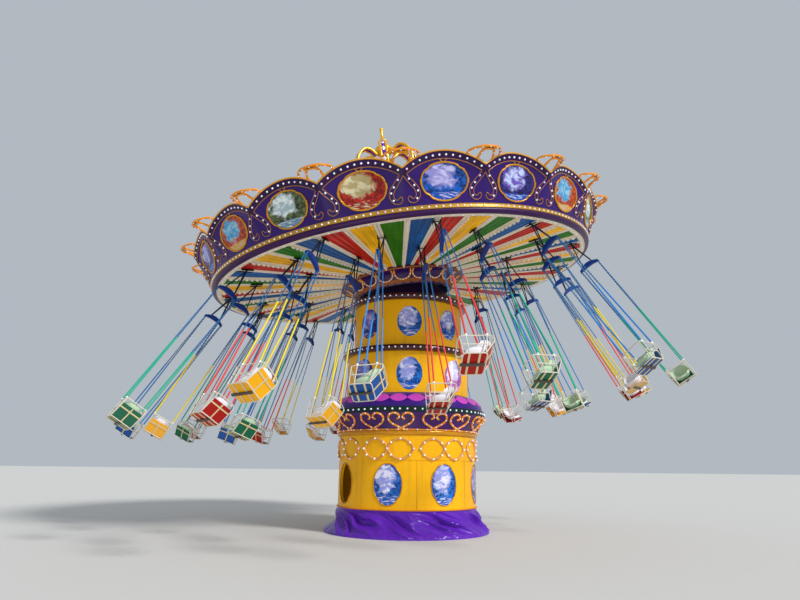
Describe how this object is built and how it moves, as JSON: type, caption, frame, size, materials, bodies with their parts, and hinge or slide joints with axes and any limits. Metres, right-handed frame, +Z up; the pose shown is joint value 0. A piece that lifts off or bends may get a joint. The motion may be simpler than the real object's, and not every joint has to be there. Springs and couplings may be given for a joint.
{
  "type": "chair swing ride with a lifting, tilting and turning canopy",
  "caption": "Chair swing ride: fixed drum tower, lifting section and a tilting, turning round canopy with scalloped fascia, from which rings of open chairs hang on chains.",
  "frame": {"origin": "on the tower's axis at ground level, on the underside of the mast's base plate", "axes": "+Z up along the tower, -Y towards the viewer of the picture, +X to the viewer's right"},
  "size_m": [11.5474, 11.8473, 9.2947],
  "materials": {
    "steel": "satin machined steel",
    "purple_paint": "satin purple enamel",
    "orange_paint": "satin orange enamel",
    "yellow_paint": "satin golden-yellow enamel with a fine spray texture",
    "dark_green_paint": "dark bottle-green enamel",
    "maroon_paint": "dark maroon gloss enamel",
    "dark_purple_paint": "very dark purple gloss enamel",
    "cream_paint": "cream enamel, yellowed",
    "gold_paint": "gold-coloured metallic paint",
    "purple_gloss": "high-gloss dark purple fibreglass lacquer",
    "chair_green": "gloss green enamel in a cream frame",
    "chair_yellow": "gloss yellow enamel in a cream frame",
    "chair_red": "gloss red enamel in a cream frame",
    "chair_blue": "gloss blue enamel in a cream frame"
  },
  "bodies": {
    "base": {"mast": "steel", "skirt": "purple_paint", "foot_flange": "orange_paint", "drum_wall": "yellow_paint", "rope_band": "yellow_paint", "corbel": "purple_paint", "bulb_band": "dark_green_paint", "dome_shoulder": "purple_paint", "lower_section": "yellow_paint", "lower_ring": "maroon_paint"},
    "lift": {"upper_section": "yellow_paint", "upper_ring": "maroon_paint", "lift_carriage": "steel"},
    "tilt": {"neck": "dark_purple_paint"},
    "crown": {"turning_deck": "steel", "soffit": "cream_paint", "cornice": "dark_purple_paint", "rim_band": "dark_purple_paint", "gold_band": "gold_paint", "fascia": "purple_gloss", "edge_trim": "gold_paint", "roof": "purple_paint", "finial": "gold_paint", "crown_scrolls": "gold_paint"},
    "chair_outer_01": {"chair_outer_01_red": "chair_red"},
    "chair_outer_02": {"chair_outer_02_blue": "chair_blue"},
    "chair_outer_03": {"chair_outer_03_green": "chair_green"},
    "chair_outer_04": {"chair_outer_04_yellow": "chair_yellow"},
    "chair_outer_05": {"chair_outer_05_red": "chair_red"},
    "chair_outer_06": {"chair_outer_06_blue": "chair_blue"},
    "chair_outer_07": {"chair_outer_07_green": "chair_green"},
    "chair_outer_08": {"chair_outer_08_yellow": "chair_yellow"},
    "chair_outer_09": {"chair_outer_09_red": "chair_red"},
    "chair_outer_10": {"chair_outer_10_blue": "chair_blue"},
    "chair_outer_11": {"chair_outer_11_green": "chair_green"},
    "chair_outer_12": {"chair_outer_12_yellow": "chair_yellow"},
    "chair_middle_01": {"chair_middle_01_blue": "chair_blue"},
    "chair_middle_02": {"chair_middle_02_green": "chair_green"},
    "chair_middle_03": {"chair_middle_03_yellow": "chair_yellow"},
    "chair_middle_04": {"chair_middle_04_red": "chair_red"},
    "chair_middle_05": {"chair_middle_05_blue": "chair_blue"},
    "chair_middle_06": {"chair_middle_06_green": "chair_green"},
    "chair_middle_07": {"chair_middle_07_yellow": "chair_yellow"},
    "chair_middle_08": {"chair_middle_08_red": "chair_red"},
    "chair_middle_09": {"chair_middle_09_blue": "chair_blue"},
    "chair_middle_10": {"chair_middle_10_green": "chair_green"},
    "chair_middle_11": {"chair_middle_11_yellow": "chair_yellow"},
    "chair_middle_12": {"chair_middle_12_red": "chair_red"},
    "chair_inner_01": {"chair_inner_01_red": "chair_red"},
    "chair_inner_02": {"chair_inner_02_blue": "chair_blue"},
    "chair_inner_03": {"chair_inner_03_green": "chair_green"},
    "chair_inner_04": {"chair_inner_04_yellow": "chair_yellow"},
    "chair_inner_05": {"chair_inner_05_red": "chair_red"},
    "chair_inner_06": {"chair_inner_06_blue": "chair_blue"},
    "chair_inner_07": {"chair_inner_07_green": "chair_green"},
    "chair_inner_08": {"chair_inner_08_yellow": "chair_yellow"},
    "chair_inner_09": {"chair_inner_09_red": "chair_red"},
    "chair_inner_10": {"chair_inner_10_blue": "chair_blue"},
    "chair_inner_11": {"chair_inner_11_green": "chair_green"},
    "chair_inner_12": {"chair_inner_12_yellow": "chair_yellow"}
  },
  "joints": [
    {"name": "lift", "type": "slide", "parent": "base", "child": "lift", "axis": [0, 0, 1], "range_m": [-0.95, 0]},
    {"name": "tilt", "type": "hinge", "parent": "lift", "child": "tilt", "pos_m": [0, 0, 4.35], "axis": [0.3107, -0.9505, 0], "range_deg": [-8.53, 3.47]},
    {"name": "crown_spin", "type": "hinge", "parent": "tilt", "child": "crown", "pos_m": [0, 0, 4.35], "axis": [-0.141, -0.0461, 0.9889], "continuous": true},
    {"name": "swing_outer_01", "type": "hinge", "parent": "crown", "child": "chair_outer_01", "pos_m": [0.47594, -3.82532, 5.26262], "axis": [-0.99, -0.0022, -0.1412], "range_deg": [-39.34, 8]},
    {"name": "swing_outer_02", "type": "hinge", "parent": "crown", "child": "chair_outer_02", "pos_m": [2.26354, -3.0194, 5.55502], "axis": [-0.8833, -0.4453, -0.1467], "range_deg": [-32.78, 6.67]},
    {"name": "swing_outer_03", "type": "hinge", "parent": "crown", "child": "chair_outer_03", "pos_m": [3.40641, -1.41692, 5.79262], "axis": [-0.5166, -0.8487, -0.1132], "range_deg": [-26.6, 5.42]},
    {"name": "swing_outer_04", "type": "hinge", "parent": "crown", "child": "chair_outer_04", "pos_m": [3.59831, 0.55272, 5.91176], "axis": [0.1106, -0.9934, -0.0305], "range_deg": [-24.12, 4.91]},
    {"name": "swing_outer_05", "type": "hinge", "parent": "crown", "child": "chair_outer_05", "pos_m": [2.78783, 2.36177, 5.88051], "axis": [0.7136, -0.6971, 0.0693], "range_deg": [-24.74, 5.04]},
    {"name": "swing_outer_06", "type": "hinge", "parent": "crown", "child": "chair_outer_06", "pos_m": [1.19213, 3.5255, 5.70725], "axis": [0.9807, -0.1434, 0.1331], "range_deg": [-27.91, 5.68]},
    {"name": "swing_outer_07", "type": "hinge", "parent": "crown", "child": "chair_outer_07", "pos_m": [-0.76121, 3.73208, 5.4384], "axis": [0.9113, 0.3843, 0.1478], "range_deg": [-32.2, 6.56]},
    {"name": "swing_outer_08", "type": "hinge", "parent": "crown", "child": "chair_outer_08", "pos_m": [-2.54881, 2.92616, 5.146], "axis": [0.6316, 0.765, 0.1257], "range_deg": [-36.34, 7.4]},
    {"name": "swing_outer_09", "type": "hinge", "parent": "crown", "child": "chair_outer_09", "pos_m": [-3.69168, 1.32368, 4.90839], "axis": [0.2401, 0.9675, 0.0793], "range_deg": [-39.45, 8.03]},
    {"name": "swing_outer_10", "type": "hinge", "parent": "crown", "child": "chair_outer_10", "pos_m": [-3.88358, -0.64596, 4.78926], "axis": [-0.188, 0.982, 0.019], "range_deg": [-40.95, 8.34]},
    {"name": "swing_outer_11", "type": "hinge", "parent": "crown", "child": "chair_outer_11", "pos_m": [-3.0731, -2.45501, 4.8205], "axis": [-0.6037, 0.7957, -0.049], "range_deg": [-40.93, 8.33]},
    {"name": "swing_outer_12", "type": "hinge", "parent": "crown", "child": "chair_outer_12", "pos_m": [-1.47741, -3.61874, 4.99377], "axis": [-0.9096, 0.4004, -0.111], "range_deg": [-41, 8.35]},
    {"name": "swing_middle_01", "type": "hinge", "parent": "crown", "child": "chair_middle_01", "pos_m": [-0.47642, -3.35371, 5.14882], "axis": [-0.9671, 0.22, -0.1276], "range_deg": [-36.5, 7.43]},
    {"name": "swing_middle_02", "type": "hinge", "parent": "crown", "child": "chair_middle_02", "pos_m": [1.2082, -3.0899, 5.40128], "axis": [-0.9721, -0.1829, -0.1471], "range_deg": [-32.39, 6.59]},
    {"name": "swing_middle_03", "type": "hinge", "parent": "crown", "child": "chair_middle_03", "pos_m": [2.53086, -2.01066, 5.64014], "axis": [-0.7675, -0.6259, -0.1386], "range_deg": [-25.14, 5.12]},
    {"name": "swing_middle_04", "type": "hinge", "parent": "crown", "child": "chair_middle_04", "pos_m": [3.13716, -0.40515, 5.80138], "axis": [-0.2584, -0.9626, -0.0817], "range_deg": [-20.72, 4.22]},
    {"name": "swing_middle_05", "type": "hinge", "parent": "crown", "child": "chair_middle_05", "pos_m": [2.86464, 1.29643, 5.84182], "axis": [0.4441, -0.8957, 0.0216], "range_deg": [-19.75, 4.02]},
    {"name": "swing_middle_06", "type": "hinge", "parent": "crown", "child": "chair_middle_06", "pos_m": [1.78633, 2.63814, 5.75061], "axis": [0.9103, -0.3987, 0.1112], "range_deg": [-21.87, 4.46]},
    {"name": "swing_middle_07", "type": "hinge", "parent": "crown", "child": "chair_middle_07", "pos_m": [0.19115, 3.26046, 5.5522], "axis": [0.9731, 0.1773, 0.147], "range_deg": [-25.86, 5.27]},
    {"name": "swing_middle_08", "type": "hinge", "parent": "crown", "child": "chair_middle_08", "pos_m": [-1.49347, 2.99666, 5.29974], "axis": [0.7688, 0.6243, 0.1387], "range_deg": [-30.19, 6.15]},
    {"name": "swing_middle_09", "type": "hinge", "parent": "crown", "child": "chair_middle_09", "pos_m": [-2.81613, 1.91741, 5.06088], "axis": [0.4241, 0.8998, 0.1024], "range_deg": [-33.83, 6.89]},
    {"name": "swing_middle_10", "type": "hinge", "parent": "crown", "child": "chair_middle_10", "pos_m": [-3.42243, 0.3119, 4.89963], "axis": [0.0172, 0.9987, 0.049], "range_deg": [-36.14, 7.36]},
    {"name": "swing_middle_11", "type": "hinge", "parent": "crown", "child": "chair_middle_11", "pos_m": [-3.14992, -1.38967, 4.8592], "axis": [-0.3932, 0.9194, -0.0132], "range_deg": [-36.74, 7.48]},
    {"name": "swing_middle_12", "type": "hinge", "parent": "crown", "child": "chair_middle_12", "pos_m": [-2.0716, -2.73138, 4.9504], "axis": [-0.7777, 0.6233, -0.0818], "range_deg": [-36.63, 7.46]},
    {"name": "swing_inner_01", "type": "hinge", "parent": "crown", "child": "chair_inner_01", "pos_m": [0.24728, -2.4546, 5.29389], "axis": [-0.9865, 0.0905, -0.1364], "range_deg": [-27.92, 5.68]},
    {"name": "swing_inner_02", "type": "hinge", "parent": "crown", "child": "chair_inner_02", "pos_m": [1.38702, -1.94318, 5.48021], "axis": [-0.9384, -0.312, -0.1483], "range_deg": [-21.58, 4.4]},
    {"name": "swing_inner_03", "type": "hinge", "parent": "crown", "child": "chair_inner_03", "pos_m": [2.11688, -0.92358, 5.63177], "axis": [-0.649, -0.75, -0.1275], "range_deg": [-15.26, 3.11]},
    {"name": "swing_inner_04", "type": "hinge", "parent": "crown", "child": "chair_inner_04", "pos_m": [2.24131, 0.331, 5.70797], "axis": [0.0542, -0.9978, -0.0388], "range_deg": [-12.36, 2.52]},
    {"name": "swing_inner_05", "type": "hinge", "parent": "crown", "child": "chair_inner_05", "pos_m": [1.72697, 1.4844, 5.68839], "axis": [0.7869, -0.6113, 0.0837], "range_deg": [-13.11, 2.67]},
    {"name": "swing_inner_06", "type": "hinge", "parent": "crown", "child": "chair_inner_06", "pos_m": [0.71166, 2.22756, 5.57827], "axis": [0.9893, 0.0312, 0.1425], "range_deg": [-16.7, 3.4]},
    {"name": "swing_inner_07", "type": "hinge", "parent": "crown", "child": "chair_inner_07", "pos_m": [-0.53256, 2.36136, 5.40712], "axis": [0.8403, 0.5225, 0.1442], "range_deg": [-21.07, 4.29]},
    {"name": "swing_inner_08", "type": "hinge", "parent": "crown", "child": "chair_inner_08", "pos_m": [-1.67229, 1.84994, 5.22081], "axis": [0.5423, 0.8321, 0.1161], "range_deg": [-24.98, 5.09]},
    {"name": "swing_inner_09", "type": "hinge", "parent": "crown", "child": "chair_inner_09", "pos_m": [-2.40216, 0.83034, 5.06924], "axis": [0.1787, 0.9813, 0.0712], "range_deg": [-27.82, 5.67]},
    {"name": "swing_inner_10", "type": "hinge", "parent": "crown", "child": "chair_inner_10", "pos_m": [-2.52659, -0.42424, 4.99305], "axis": [-0.2013, 0.9794, 0.0169], "range_deg": [-29.16, 5.94]},
    {"name": "swing_inner_11", "type": "hinge", "parent": "crown", "child": "chair_inner_11", "pos_m": [-2.01224, -1.57764, 5.01263], "axis": [-0.5834, 0.8109, -0.0454], "range_deg": [-29.16, 5.94]},
    {"name": "swing_inner_12", "type": "hinge", "parent": "crown", "child": "chair_inner_12", "pos_m": [-0.99693, -2.3208, 5.12275], "axis": [-0.891, 0.4414, -0.1065], "range_deg": [-29.3, 5.97]}
  ],
  "couplings": [
    {"joint": "swing_outer_02", "follows": "swing_outer_01", "ratio": 0.8329},
    {"joint": "swing_outer_03", "follows": "swing_outer_01", "ratio": 0.6759},
    {"joint": "swing_outer_04", "follows": "swing_outer_01", "ratio": 0.61283},
    {"joint": "swing_outer_05", "follows": "swing_outer_01", "ratio": 0.62858},
    {"joint": "swing_outer_06", "follows": "swing_outer_01", "ratio": 0.7092},
    {"joint": "swing_outer_07", "follows": "swing_outer_01", "ratio": 0.81835},
    {"joint": "swing_outer_08", "follows": "swing_outer_01", "ratio": 0.92344},
    {"joint": "swing_outer_09", "follows": "swing_outer_01", "ratio": 1.0025},
    {"joint": "swing_outer_10", "follows": "swing_outer_01", "ratio": 1.0408},
    {"joint": "swing_outer_11", "follows": "swing_outer_01", "ratio": 1.0402},
    {"joint": "swing_outer_12", "follows": "swing_outer_01", "ratio": 1.0419},
    {"joint": "swing_middle_01", "follows": "swing_outer_01", "ratio": 0.92752},
    {"joint": "swing_middle_02", "follows": "swing_outer_01", "ratio": 0.82311},
    {"joint": "swing_middle_03", "follows": "swing_outer_01", "ratio": 0.63872},
    {"joint": "swing_middle_04", "follows": "swing_outer_01", "ratio": 0.52654},
    {"joint": "swing_middle_05", "follows": "swing_outer_01", "ratio": 0.50165},
    {"joint": "swing_middle_06", "follows": "swing_outer_01", "ratio": 0.55561},
    {"joint": "swing_middle_07", "follows": "swing_outer_01", "ratio": 0.6572},
    {"joint": "swing_middle_08", "follows": "swing_outer_01", "ratio": 0.76724},
    {"joint": "swing_middle_09", "follows": "swing_outer_01", "ratio": 0.8598},
    {"joint": "swing_middle_10", "follows": "swing_outer_01", "ratio": 0.9184},
    {"joint": "swing_middle_11", "follows": "swing_outer_01", "ratio": 0.93378},
    {"joint": "swing_middle_12", "follows": "swing_outer_01", "ratio": 0.93089},
    {"joint": "swing_inner_01", "follows": "swing_outer_01", "ratio": 0.70942},
    {"joint": "swing_inner_02", "follows": "swing_outer_01", "ratio": 0.54837},
    {"joint": "swing_inner_03", "follows": "swing_outer_01", "ratio": 0.38775},
    {"joint": "swing_inner_04", "follows": "swing_outer_01", "ratio": 0.31389},
    {"joint": "swing_inner_05", "follows": "swing_outer_01", "ratio": 0.33302},
    {"joint": "swing_inner_06", "follows": "swing_outer_01", "ratio": 0.42428},
    {"joint": "swing_inner_07", "follows": "swing_outer_01", "ratio": 0.53533},
    {"joint": "swing_inner_08", "follows": "swing_outer_01", "ratio": 0.63488},
    {"joint": "swing_inner_09", "follows": "swing_outer_01", "ratio": 0.70683},
    {"joint": "swing_inner_10", "follows": "swing_outer_01", "ratio": 0.74108},
    {"joint": "swing_inner_11", "follows": "swing_outer_01", "ratio": 0.74093},
    {"joint": "swing_inner_12", "follows": "swing_outer_01", "ratio": 0.74467}
  ]
}
